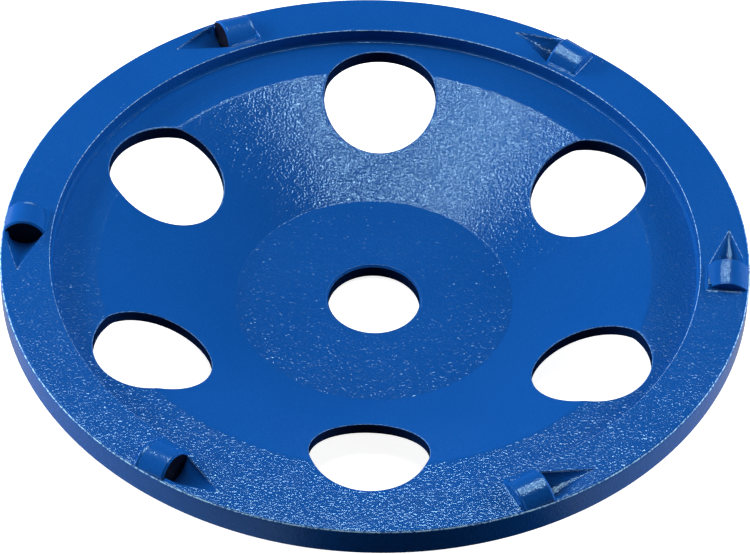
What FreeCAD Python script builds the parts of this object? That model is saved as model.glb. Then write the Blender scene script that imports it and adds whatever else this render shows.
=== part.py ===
import FreeCAD, Part
import math
import os

import Sketcher

# Diamond cup wheel for an angle grinder: a dished steel body, turned and drilled, with six half-round
# diamond segments seated in its raised rim. Millimetres. The origin is the centre of the hub's back face,
# +Z points to the working side, and a window lies on the +Y axis.

Vector = FreeCAD.Vector
Rotation = FreeCAD.Rotation
Placement = FreeCAD.Placement

SIZES = [
    # The turned section
    ("wheel_diameter", 180.0, "outside of the rim"),
    ("bore_diameter", 22.23, "arbor bore"),
    ("wheel_height", 21.0, "hub back face to rim top"),
    ("hub_thickness", 4.0, "clamped hub"),
    ("hub_flat_diameter", 67.4, "flat hub inside the cone"),
    ("cone_wall", 3.0, "wall of the cone, square to its face"),
    ("ledge_width", 11.5, "inside of the rim in to the top of the cone"),
    ("ledge_depth", 3.7, "rim top down to the ledge"),
    ("rim_width", 12.0, "raised rim, across"),
    ("rim_thickness", 7.4, "raised rim, top to underside"),
    # Its edges
    ("rim_edge_break", 0.7, "chamfer on the outer top edge of the rim"),
    ("rim_back_break", 0.4, "chamfer on the outer lower edge of the rim"),
    ("rim_lip_break", 0.3, "chamfer on the inner top edge of the rim"),
    ("step_foot_break", 0.8, "chamfer in the foot of the step inside the rim"),
    ("bore_edge_break", 0.5, "chamfer at both ends of the bore"),
    ("cone_shoulder_radius", 3.0, "ledge rolling over into the cone"),
    ("hub_corner_radius", 1.0, "cone running into the hub flat"),
    ("cone_back_radius", 2.0, "cone running into the rim underside"),
    ("hub_back_radius", 3.0, "hub back face rolling over into the cone"),
    # Windows
    ("window_count", 6, "round holes through ledge and cone"),
    ("window_diameter", 28.0, "one window"),
    ("window_inset", 30.0, "outside of the rim in to a window's centre"),
    ("window_lead_angle", 33.0, "from a segment's radius on to the next window"),
    # Segments and their seats
    ("segment_count", 6, "segments around the rim"),
    ("segment_inset", 5.3, "outside of the rim in to a segment's axis"),
    ("segment_diameter", 11.5, "round back of a segment"),
    ("segment_length", 8.0, "cutting face to back end"),
    ("segment_height", 6.7, "flat seat to crown"),
    ("segment_exposure", 3.2, "crown above the rim at the cutting face"),
    ("segment_rake", 7.0, "segment rising towards its cutting face"),
    ("face_advance", 2.6, "cutting face ahead of the segment's radius"),
    ("face_edge_break", 0.45, "chamfer round the cutting face"),
    ("seat_clearance", 0.05, "seat wall round the back of a segment"),
    # Relief grooves
    ("relief_length", 12.2, "cutting face to the groove's point"),
    ("relief_half_width", 4.7, "groove at the cutting face, each side"),
    ("relief_depth", 3.4, "groove at the cutting face, below the rim"),
    ("relief_headroom", 1.0, "cut carried above the rim top"),
]

value = {name: number for name, number, use in SIZES}

# Sizes that follow from the driving ones
rim_radius = value["wheel_diameter"] / 2
rim_underside = value["wheel_height"] - value["rim_thickness"]
ledge_level = value["wheel_height"] - value["ledge_depth"]
rim_inner_radius = rim_radius - value["rim_width"]
cone_radius = rim_inner_radius - value["ledge_width"]
hub_radius = value["hub_flat_diameter"] / 2
bore_radius = value["bore_diameter"] / 2
cone_slope = math.atan2(ledge_level - value["hub_thickness"], cone_radius - hub_radius)
wheel_turn = 360 / value["window_count"] / 2 - value["window_lead_angle"]

# The same relations, as the document's expressions
RIM_RADIUS = "sizes.wheel_diameter / 2"
RIM_INNER_RADIUS = f"{RIM_RADIUS} - sizes.rim_width"
WINDOW_REACH = f"({RIM_RADIUS} - sizes.window_inset)"
SEGMENT_REACH = f"{RIM_RADIUS} - sizes.segment_inset"
SEGMENT_RADIUS = "sizes.segment_diameter / 2"
CROWN_LEVEL = "sizes.wheel_height + sizes.segment_exposure"
AXIS_LEVEL = f"{CROWN_LEVEL} - {SEGMENT_RADIUS} * cos(sizes.segment_rake)"
FLAT_BELOW_AXIS = f"sizes.segment_height - {SEGMENT_RADIUS}"
RIM_TOP_ABOVE_AXIS = f"{SEGMENT_RADIUS} - sizes.segment_exposure / cos(sizes.segment_rake)"


def make_sheet(doc):
    """One row a size: its name, its value under that alias, and what it is."""
    sheet = doc.addObject("Spreadsheet::Sheet", "sizes")
    for row, (name, number, use) in enumerate(SIZES, start=1):
        sheet.set(f"A{row}", name)
        sheet.set(f"B{row}", repr(number))
        sheet.set(f"C{row}", use)
        sheet.setAlias(f"B{row}", name)
    doc.recompute()
    return sheet


def origin_feature(body, role):
    """The body's own origin plane or axis with this role, such as XZ_Plane."""
    return next(o for o in body.Origin.OriginFeatures if o.Role == role)


def add_sketch(body, name, role):
    """An empty sketch on one of the body's origin planes."""
    sketch = body.newObject("Sketcher::SketchObject", name)
    sketch.AttachmentSupport = [(origin_feature(body, role), "")]
    sketch.MapMode = "FlatFace"
    return sketch


def lay_on_cutting_face(sketch):
    """Move a sketch from the XZ plane to a segment's cutting face, its origin on the segment's axis."""
    sketch.AttachmentOffset = Placement(Vector(0, 0, 0), Rotation(Vector(1, 0, 0), value["segment_rake"]))
    sketch.setExpression(".AttachmentOffset.Base.x", SEGMENT_REACH)
    sketch.setExpression(".AttachmentOffset.Base.y", AXIS_LEVEL)
    sketch.setExpression(".AttachmentOffset.Base.z", "-sizes.face_advance")
    sketch.setExpression(".AttachmentOffset.Rotation.Angle", "sizes.segment_rake")


def close_polygon(sketch, corners):
    """Draw the corners as a closed run of lines joined end to end, line i leaving corner i."""
    count = len(corners)
    for i, corner in enumerate(corners):
        sketch.addGeometry(Part.LineSegment(corner, corners[(i + 1) % count]))
    for i in range(count):
        sketch.addConstraint(Sketcher.Constraint("Coincident", i, 2, (i + 1) % count, 1))


def bind(sketch, constraint, formula):
    """Add a measured constraint and tie it to the sheet."""
    index = sketch.addConstraint(constraint)
    sketch.setExpression(f"Constraints[{index}]", formula)


def circle_edges(shape, radius, level, tolerance=0.01):
    """Names of the full circular edges about Z with this radius at this height."""
    names = []
    for number, edge in enumerate(shape.Edges, start=1):
        if not isinstance(edge.Curve, Part.Circle):
            continue
        centre = edge.Curve.Center
        if abs(edge.Curve.Radius - radius) > tolerance or abs(centre.z - level) > tolerance:
            continue
        if math.hypot(centre.x, centre.y) < tolerance:
            names.append(f"Edge{number}")
    return names


def ease_edges(body, name, base, edges, size_name):
    """Chamfer the named edges of a feature, or fillet them where the sheet gives a radius."""
    kind, measure = ("Fillet", "Radius") if size_name.endswith("_radius") else ("Chamfer", "Size")
    eased = body.newObject(f"PartDesign::{kind}", name)
    eased.Base = (base, edges)
    setattr(eased, measure, value[size_name])
    eased.setExpression(measure, f"sizes.{size_name}")
    body.Document.recompute()
    return eased


def add_section(body):
    """The wheel's turned section, on the XZ plane from the bore outwards."""
    # Where the cone's lower line, one wall below the upper one, meets the two undersides
    wall_drop = value["cone_wall"] / math.cos(cone_slope)
    run = 1 / math.tan(cone_slope)
    hub_back = hub_radius + (wall_drop - value["hub_thickness"]) * run
    rim_back = hub_back + rim_underside * run
    corners = [
        Vector(bore_radius, 0, 0),
        Vector(hub_back, 0, 0),
        Vector(rim_back, rim_underside, 0),
        Vector(rim_radius, rim_underside, 0),
        Vector(rim_radius, value["wheel_height"], 0),
        Vector(rim_inner_radius, value["wheel_height"], 0),
        Vector(rim_inner_radius, ledge_level, 0),
        Vector(cone_radius, ledge_level, 0),
        Vector(hub_radius, value["hub_thickness"], 0),
        Vector(bore_radius, value["hub_thickness"], 0),
    ]
    (hub_under, cone_under, rim_under, rim_outside, rim_top, rim_inside,
     ledge, cone_top, hub_top, bore_wall) = range(len(corners))
    sketch = add_sketch(body, "section", "XZ_Plane")
    close_polygon(sketch, corners)
    for line in (hub_under, rim_under, rim_top, ledge, hub_top):
        sketch.addConstraint(Sketcher.Constraint("Horizontal", line))
    for line in (rim_outside, rim_inside, bore_wall):
        sketch.addConstraint(Sketcher.Constraint("Vertical", line))
    axis_x, origin, start = -1, 1, 1
    sketch.addConstraint(Sketcher.Constraint("PointOnObject", hub_under, start, axis_x))
    sketch.addConstraint(Sketcher.Constraint("Parallel", cone_under, cone_top))

    def from_axis(line, formula, size):
        bind(sketch, Sketcher.Constraint("DistanceX", axis_x, origin, line, start, size), formula)

    def upwards(low, high, formula, size):
        bind(sketch, Sketcher.Constraint("DistanceY", low, start, high, start, size), formula)

    from_axis(hub_under, "sizes.bore_diameter / 2", bore_radius)
    from_axis(rim_outside, RIM_RADIUS, rim_radius)
    from_axis(rim_inside, RIM_INNER_RADIUS, rim_inner_radius)
    from_axis(cone_top, f"{RIM_INNER_RADIUS} - sizes.ledge_width", cone_radius)
    from_axis(hub_top, "sizes.hub_flat_diameter / 2", hub_radius)
    upwards(hub_under, hub_top, "sizes.hub_thickness", value["hub_thickness"])
    upwards(hub_under, rim_top, "sizes.wheel_height", value["wheel_height"])
    upwards(rim_outside, rim_top, "sizes.rim_thickness", value["rim_thickness"])
    upwards(ledge, rim_inside, "sizes.ledge_depth", value["ledge_depth"])
    wall = Sketcher.Constraint("Distance", cone_under, start, cone_top, value["cone_wall"])
    bind(sketch, wall, "sizes.cone_wall")
    return sketch, hub_back, rim_back


def turn_body(body):
    """Revolve the section, then ease the edges as the lathe and the press leave them."""
    doc = body.Document
    section, hub_back, rim_back = add_section(body)
    turned = body.newObject("PartDesign::Revolution", "turned")
    turned.Profile = section
    turned.ReferenceAxis = (section, ["V_Axis"])
    turned.Angle = 360
    doc.recompute()
    top = value["wheel_height"]
    hub_level = value["hub_thickness"]
    edges = [
        ("rim_edge", rim_radius, top, "rim_edge_break"),
        ("rim_back", rim_radius, rim_underside, "rim_back_break"),
        ("rim_lip", rim_inner_radius, top, "rim_lip_break"),
        ("step_foot", rim_inner_radius, ledge_level, "step_foot_break"),
        ("bore_back", bore_radius, 0, "bore_edge_break"),
        ("bore_front", bore_radius, hub_level, "bore_edge_break"),
        ("cone_shoulder", cone_radius, ledge_level, "cone_shoulder_radius"),
        ("hub_corner", hub_radius, hub_level, "hub_corner_radius"),
        ("cone_back", rim_back, rim_underside, "cone_back_radius"),
        ("hub_back", hub_back, 0, "hub_back_radius"),
    ]
    feature = turned
    for name, radius, level, size_name in edges:
        ring = circle_edges(feature.Shape, radius, level)
        feature = ease_edges(body, name, feature, ring, size_name)
    return feature


def polar(body, name, features, count_name):
    """Repeat features evenly about the wheel's axis."""
    pattern = body.newObject("PartDesign::PolarPattern", name)
    pattern.Originals = features
    pattern.Axis = (origin_feature(body, "Z_Axis"), [""])
    pattern.Angle = 360
    pattern.Occurrences = value[count_name]
    pattern.setExpression("Occurrences", f"sizes.{count_name}")
    body.Tip = pattern
    body.Document.recompute()
    return pattern


def cut_windows(body):
    """Round windows through the ledge and the cone."""
    sketch = add_sketch(body, "window", "XY_Plane")
    angle = math.radians(value["window_lead_angle"])
    reach = rim_radius - value["window_inset"]
    centre = Vector(reach * math.cos(angle), reach * math.sin(angle), 0)
    sketch.addGeometry(Part.Circle(centre, Vector(0, 0, 1), value["window_diameter"] / 2))
    axis, origin, middle = -1, 1, 3
    bind(sketch, Sketcher.Constraint("DistanceX", axis, origin, 0, middle, centre.x),
         f"{WINDOW_REACH} * cos(sizes.window_lead_angle)")
    bind(sketch, Sketcher.Constraint("DistanceY", axis, origin, 0, middle, centre.y),
         f"{WINDOW_REACH} * sin(sizes.window_lead_angle)")
    bind(sketch, Sketcher.Constraint("Diameter", 0, value["window_diameter"]), "sizes.window_diameter")
    window = body.newObject("PartDesign::Pocket", "window_cut")
    window.Profile = sketch
    window.Type = "ThroughAll"
    window.Midplane = True
    return polar(body, "windows", [window], "window_count")


def draw_half_round(sketch, radius_formula, radius):
    """A segment's end: the round back closed by the flat that it is brazed on."""
    drop = value["segment_height"] - value["segment_diameter"] / 2
    start = -math.asin(drop / radius)
    end = math.pi - start
    circle = Part.Circle(Vector(0, 0, 0), Vector(0, 0, 1), radius)
    sketch.addGeometry(Part.ArcOfCircle(circle, start, end))
    reach = radius * math.cos(start)
    sketch.addGeometry(Part.LineSegment(Vector(-reach, -drop, 0), Vector(reach, -drop, 0)))
    axis, origin, centre = -1, 1, 3
    sketch.addConstraint(Sketcher.Constraint("Coincident", 0, 2, 1, 1))
    sketch.addConstraint(Sketcher.Constraint("Coincident", 0, 1, 1, 2))
    sketch.addConstraint(Sketcher.Constraint("Coincident", 0, centre, axis, origin))
    sketch.addConstraint(Sketcher.Constraint("Horizontal", 1))
    bind(sketch, Sketcher.Constraint("Radius", 0, radius), radius_formula)
    bind(sketch, Sketcher.Constraint("DistanceY", 1, 1, axis, origin, drop), FLAT_BELOW_AXIS)


def cut_seats(body):
    """A sloping half-round seat with a pointed relief groove ahead of it, six times."""
    doc = body.Document
    seat_sketch = add_sketch(body, "seat", "XZ_Plane")
    lay_on_cutting_face(seat_sketch)
    draw_half_round(
        seat_sketch,
        f"{SEGMENT_RADIUS} + sizes.seat_clearance",
        value["segment_diameter"] / 2 + value["seat_clearance"],
    )
    seat = body.newObject("PartDesign::Pocket", "seat_cut")
    seat.Profile = seat_sketch
    seat.Length = value["segment_length"]
    seat.setExpression("Length", "sizes.segment_length")
    seat.Reversed = True
    doc.recompute()
    relief = cut_relief(body)
    return polar(body, "seats", [seat, relief], "segment_count")


def cut_relief(body):
    """A groove that narrows from the cutting face to a point on the rim top."""
    doc = body.Document
    mouth = add_sketch(body, "relief_mouth", "XZ_Plane")
    lay_on_cutting_face(mouth)
    half, depth = value["relief_half_width"], value["relief_depth"]
    head = value["relief_headroom"]
    rake = math.radians(value["segment_rake"])
    rim_top = value["segment_diameter"] / 2 - value["segment_exposure"] / math.cos(rake)
    radius = (half**2 + depth**2) / (2 * depth)
    rise = math.atan2(radius - depth, half)
    circle = Part.Circle(Vector(0, rim_top + radius - depth, 0), Vector(0, 0, 1), radius)
    mouth.addGeometry(Part.ArcOfCircle(circle, math.pi + rise, 2 * math.pi - rise))
    corners = [
        Vector(-half, rim_top, 0),
        Vector(-half, rim_top + head, 0),
        Vector(half, rim_top + head, 0),
        Vector(half, rim_top, 0),
    ]
    for near, far in zip(corners, corners[1:]):
        mouth.addGeometry(Part.LineSegment(near, far))
    axis_x, axis_y, origin, centre = -1, -2, 1, 3
    mouth.addConstraint(Sketcher.Constraint("Coincident", 0, 1, 1, 1))
    mouth.addConstraint(Sketcher.Constraint("Coincident", 1, 2, 2, 1))
    mouth.addConstraint(Sketcher.Constraint("Coincident", 2, 2, 3, 1))
    mouth.addConstraint(Sketcher.Constraint("Coincident", 3, 2, 0, 2))
    mouth.addConstraint(Sketcher.Constraint("Vertical", 1))
    mouth.addConstraint(Sketcher.Constraint("Horizontal", 2))
    mouth.addConstraint(Sketcher.Constraint("Vertical", 3))
    mouth.addConstraint(Sketcher.Constraint("PointOnObject", 0, centre, axis_y))
    radius_formula = "(sizes.relief_half_width ^ 2 + sizes.relief_depth ^ 2) / (2 * sizes.relief_depth)"
    bind(mouth, Sketcher.Constraint("Radius", 0, radius), radius_formula)
    bind(mouth, Sketcher.Constraint("DistanceX", 1, 1, 3, 2, 2 * half), "2 * sizes.relief_half_width")
    bind(mouth, Sketcher.Constraint("DistanceY", axis_x, origin, 1, 1, rim_top), RIM_TOP_ABOVE_AXIS)
    bind(mouth, Sketcher.Constraint("DistanceY", 1, 1, 1, 2, head), "sizes.relief_headroom")
    tip = add_sketch(body, "relief_tip", "XZ_Plane")
    tip.setExpression(".AttachmentOffset.Base.x", SEGMENT_REACH)
    tip.setExpression(".AttachmentOffset.Base.y", "sizes.wheel_height")
    tip.setExpression(".AttachmentOffset.Base.z", "-sizes.face_advance - sizes.relief_length")
    tip.addGeometry(Part.Point(Vector(0, 0, 0)))
    tip.addConstraint(Sketcher.Constraint("Coincident", 0, 1, axis_x, origin))
    relief = body.newObject("PartDesign::SubtractiveLoft", "relief")
    relief.Profile = mouth
    relief.Sections = [(tip, ["Vertex1"])]
    relief.Ruled = True
    doc.recompute()
    return relief


def make_wheel_body(doc):
    """The steel wheel: turned, drilled, then cut for its segments."""
    body = doc.addObject("PartDesign::Body", "wheel_body")
    body.Label = "wheel_body"
    turn_body(body)
    cut_windows(body)
    cut_seats(body)
    body.Placement = Placement(Vector(0, 0, 0), Rotation(Vector(0, 0, 1), wheel_turn))
    return body


def make_segment(doc, number):
    """One diamond segment in its seat, its outer side ground flush with the rim."""
    name = f"segment_{number}"
    body = doc.addObject("PartDesign::Body", name)
    body.Label = name
    face = add_sketch(body, f"{name}_face", "XZ_Plane")
    lay_on_cutting_face(face)
    draw_half_round(face, SEGMENT_RADIUS, value["segment_diameter"] / 2)
    blank = body.newObject("PartDesign::Pad", f"{name}_blank")
    blank.Profile = face
    blank.Length = value["segment_length"]
    blank.setExpression("Length", "sizes.segment_length")
    doc.recompute()
    ease_edges(body, f"{name}_edge", blank, crown_edges(blank.Shape), "face_edge_break")
    ring = add_sketch(body, f"{name}_outside", "XY_Plane")
    origin = Vector(0, 0, 0)
    ring.addGeometry(Part.Circle(origin, Vector(0, 0, 1), rim_radius))
    ring.addGeometry(Part.Circle(origin, Vector(0, 0, 1), rim_radius + value["segment_diameter"]))
    for circle in (0, 1):
        ring.addConstraint(Sketcher.Constraint("Coincident", circle, 3, -1, 1))
    bind(ring, Sketcher.Constraint("Radius", 0, rim_radius), RIM_RADIUS)
    bind(ring, Sketcher.Constraint("Radius", 1, rim_radius + value["segment_diameter"]),
         f"{RIM_RADIUS} + sizes.segment_diameter")
    flush = body.newObject("PartDesign::Pocket", f"{name}_flush")
    flush.Profile = ring
    flush.Type = "ThroughAll"
    flush.Midplane = True
    doc.recompute()
    turn = wheel_turn + (number - 1) * 360 / value["segment_count"]
    body.Placement = Placement(Vector(0, 0, 0), Rotation(Vector(0, 0, 1), turn))
    return body


def crown_edges(shape):
    """Names of the round edges at the cutting face, the foremost end of the blank."""
    foremost = max(edge.CenterOfMass.y for edge in shape.Edges if isinstance(edge.Curve, Part.Circle))
    names = []
    for number, edge in enumerate(shape.Edges, start=1):
        if isinstance(edge.Curve, Part.Circle) and edge.CenterOfMass.y > foremost - 1:
            names.append(f"Edge{number}")
    return names


def check(doc, bodies):
    """Stop if any object failed, or if a sub-part is empty or not one valid solid."""
    for item in doc.Objects:
        if "Invalid" in item.State or "Error" in item.State:
            raise RuntimeError(f"{item.Name} failed: {item.getStatusString()}")
    for body in bodies:
        shape = body.Shape
        if shape.isNull() or not shape.isValid() or len(shape.Solids) != 1:
            raise RuntimeError(f"{body.Label} is not one valid solid")


def main():
    doc = FreeCAD.newDocument("diamond_cup_wheel")
    make_sheet(doc)
    bodies = [make_wheel_body(doc)]
    for number in range(1, value["segment_count"] + 1):
        bodies.append(make_segment(doc, number))
    doc.recompute()
    check(doc, bodies)
    os.makedirs("parts", exist_ok=True)
    for body in bodies:
        body.Shape.exportStep(f"parts/{body.Label}.step")
        print(body.Label, round(body.Shape.Volume, 2), "mm3")


main()
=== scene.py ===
import logging
import math
from dataclasses import dataclass, field, replace
from enum import Enum

import bmesh
import bpy
import numpy as np
from mathutils import Matrix, Vector
from mathutils.geometry import delaunay_2d_cdt


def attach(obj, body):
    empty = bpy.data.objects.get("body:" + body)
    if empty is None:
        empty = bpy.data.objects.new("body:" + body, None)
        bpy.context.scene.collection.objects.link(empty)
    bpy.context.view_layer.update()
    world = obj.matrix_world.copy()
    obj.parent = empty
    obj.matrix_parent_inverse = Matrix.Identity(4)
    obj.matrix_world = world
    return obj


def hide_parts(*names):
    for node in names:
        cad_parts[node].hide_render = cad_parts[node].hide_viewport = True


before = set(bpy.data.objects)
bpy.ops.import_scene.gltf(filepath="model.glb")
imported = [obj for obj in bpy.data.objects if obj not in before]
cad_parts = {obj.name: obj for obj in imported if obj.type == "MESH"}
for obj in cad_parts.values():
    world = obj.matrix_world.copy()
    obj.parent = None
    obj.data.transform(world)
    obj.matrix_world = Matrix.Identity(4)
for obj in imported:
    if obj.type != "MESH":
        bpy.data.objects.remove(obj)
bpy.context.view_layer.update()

# The looks of a painted diamond cup wheel. The shapes are built in millimetres, as the workshop drawing gives
# them, and scaled to metres when a mesh is made. The origin is the centre of the hub's back face.

log = logging.getLogger("cup_wheel")

Colour = tuple[float, float, float, float]
Place = tuple[float, float, float]

MM = 0.001
ROOT_BODY = "root"
WHITE = (1.0, 1.0, 1.0, 1.0)
FLOAT = "NodeSocketFloat"
# Name of the point attribute that says where painted highlight lines go along edges
HIGHLIGHT_MARK = "edge"

# Lengths too small to matter, in millimetres, and the digits that welding keeps
NEAR = 1e-5
NUDGE = 0.01
POINT_GAP = 0.03
WELD_DIGITS = 4

# Columns in a full turn, and the radius inside which fewer do
TURN_STEPS = 360
HUB_STEPS = 180
COARSE_RADIUS = 30.0

# Points round a window, the room kept round it, its rings in the sheet, and the rows of its wall and edges
WINDOW_STEPS = 96
WINDOW_MARGIN = 0.9
WINDOW_RINGS = (0.0, 0.35, 0.8)
WALL_SHARES = (0.25, 0.5, 0.75)
EASE_POINTS = 6

# The rim top's rings, the band kept free at its edges, and the rows of points under each cutting face
RIM_RINGS = 5
RIM_LIP = 0.15
MOUTH_OVERLAP = 0.6
MOUTH_POINTS = 30
MOUTH_STEPS = (0.0, 0.12)
MOUTH_ENDS = (0.1, 0.9)

# Rows of points along a groove's edges, down the groove and round a segment's foot. Tuples hold their offsets
BRINK_LINES = (-0.55, -0.36, -0.24, -0.15, -0.07, 0.0, 0.06, 0.12, 0.19, 0.28, 0.42)
BRINK_POINTS = 34
GROOVE_LINES = 13
GROOVE_SHARE = 0.88
GROOVE_POINTS = 22
GROOVE_TIP = 1.2
FOOT_LINES = (-0.3, 0.0, 0.12, 0.25, 0.4, 0.6, 0.85, 1.1)
SIDE_LINES_END = 0.6
FOOT_POINTS = 16
FOOT_FRONT = 0.9
CORNER_POINTS = 7

# A segment's columns outside, over the round and along the flat, and where the first end if nothing is cut
SEGMENT_COLUMNS = (12, 44, 8)
PLAIN_TURN = 0.1

# How much flat is left between a rounded corner and the next sheet, in millimetres
BORE_LAND = 1.2
STEP_LAND = 1.8
LIP_LAND = 0.8
RIM_LAND = 1.5
UNDER_LAND = 1.2

# How the groove's cone is worked out, and how it is carried on past its edges
FALL_PASSES = 4
SMALL_SHARE = 0.002
EDGE_REACH = 0.97
EDGE_STEEPNESS = 4.0

# How strongly the painted highlight lines along edges show, 0 to 1
SOFT_HIGHLIGHT = 0.3
WINDOW_HIGHLIGHT = 0.92
BRINK_HIGHLIGHT = 0.91


class Slot(Enum):
    """The record's material slots."""

    WHEEL = "wheel_paint"
    SEGMENT = "segment_paint"


class Patch(Enum):
    """Which flat of the wheel a sheet of triangles lies on."""

    TOP = 1
    UNDER = -1


# Node helpers


class NodeBench:
    """Short calls for laying out nodes in one tree.

    Attributes:
        tree: The node tree that the nodes go into.
    """

    def __init__(self, tree: bpy.types.NodeTree) -> None:
        """Start on the tree to fill."""
        self.tree = tree

    def add(self, kind: str, **settings: object) -> bpy.types.Node:
        """Add a node and set its properties.

        Args:
            kind: The node's Blender type name.
            **settings: Properties by name.

        Returns:
            The new node.
        """
        node = self.tree.nodes.new(kind)
        for name, value in settings.items():
            setattr(node, name, value)
        return node

    def put(self, target: bpy.types.NodeSocket, value: object) -> None:
        """Link a socket to another, or give it a plain value.

        Args:
            target: The input to fill.
            value: An output socket, or a number, colour or vector.
        """
        if isinstance(value, bpy.types.NodeSocket):
            self.tree.links.new(value, target)
        else:
            target.default_value = value

    def math(self, operation: str, a: object, b: object = 0.0, clamp: bool = False) -> bpy.types.NodeSocket:
        """One arithmetic step.

        Args:
            operation: The Math node's operation.
            a: The first number or socket.
            b: The second number or socket.
            clamp: Whether the result is held between 0 and 1.

        Returns:
            The result's socket.
        """
        node = self.add("ShaderNodeMath", operation=operation, use_clamp=clamp)
        self.put(node.inputs[0], a)
        self.put(node.inputs[1], b)
        return node.outputs[0]

    def ramp(
        self, value: object, low: float, high: float, start: float = 0.0, end: float = 1.0
    ) -> bpy.types.NodeSocket:
        """A smooth ramp from one range of values to another.

        Args:
            value: The socket or number that drives it.
            low: Where the ramp begins.
            high: Where it ends.
            start: The result at low.
            end: The result at high.

        Returns:
            The result's socket.
        """
        node = self.add("ShaderNodeMapRange", interpolation_type="SMOOTHSTEP")
        for socket, number in zip(node.inputs[:5], (value, low, high, start, end)):
            self.put(socket, number)
        return node.outputs[0]

    def mix(self, share: object, a: object, b: object) -> bpy.types.NodeSocket:
        """Blend two colours.

        Args:
            share: How much of the second colour shows, 0 to 1.
            a: The first colour or socket.
            b: The second colour or socket.

        Returns:
            The blended colour's socket.
        """
        node = self.add("ShaderNodeMix", data_type="RGBA")
        self.put(node.inputs[0], share)
        self.put(node.inputs[6], a)
        self.put(node.inputs[7], b)
        return node.outputs[2]

    def place(self) -> bpy.types.NodeSocket:
        """The point's own place on the object, in metres."""
        return self.add("ShaderNodeTexCoord").outputs["Object"]

    def fill(self, kind: str, **values: object) -> bpy.types.NodeSocket:
        """Add a node and fill its inputs by name.

        Args:
            kind: The node's Blender type name.
            **values: Sockets, numbers or colours by input name.

        Returns:
            The node's first output.
        """
        node = self.add(kind)
        for label, value in values.items():
            self.put(node.inputs[label], value)
        return node.outputs[0]

    def product(self, first: object, *others: object) -> bpy.types.NodeSocket:
        """Multiply numbers or masks together.

        Args:
            first: The first number or socket.
            *others: The rest.

        Returns:
            The product's socket.
        """
        for other in others:
            first = self.math("MULTIPLY", first, other)
        return first

    def mix_shaders(self, share: object, a: object, b: object) -> bpy.types.NodeSocket:
        """Blend two shaders.

        Args:
            share: How much of the second shader shows, 0 to 1.
            a: The first shader's socket.
            b: The second shader's socket.

        Returns:
            The blended shader's socket.
        """
        node = self.add("ShaderNodeMixShader")
        for target, value in zip(node.inputs, (share, a, b)):
            self.put(target, value)
        return node.outputs[0]


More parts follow.
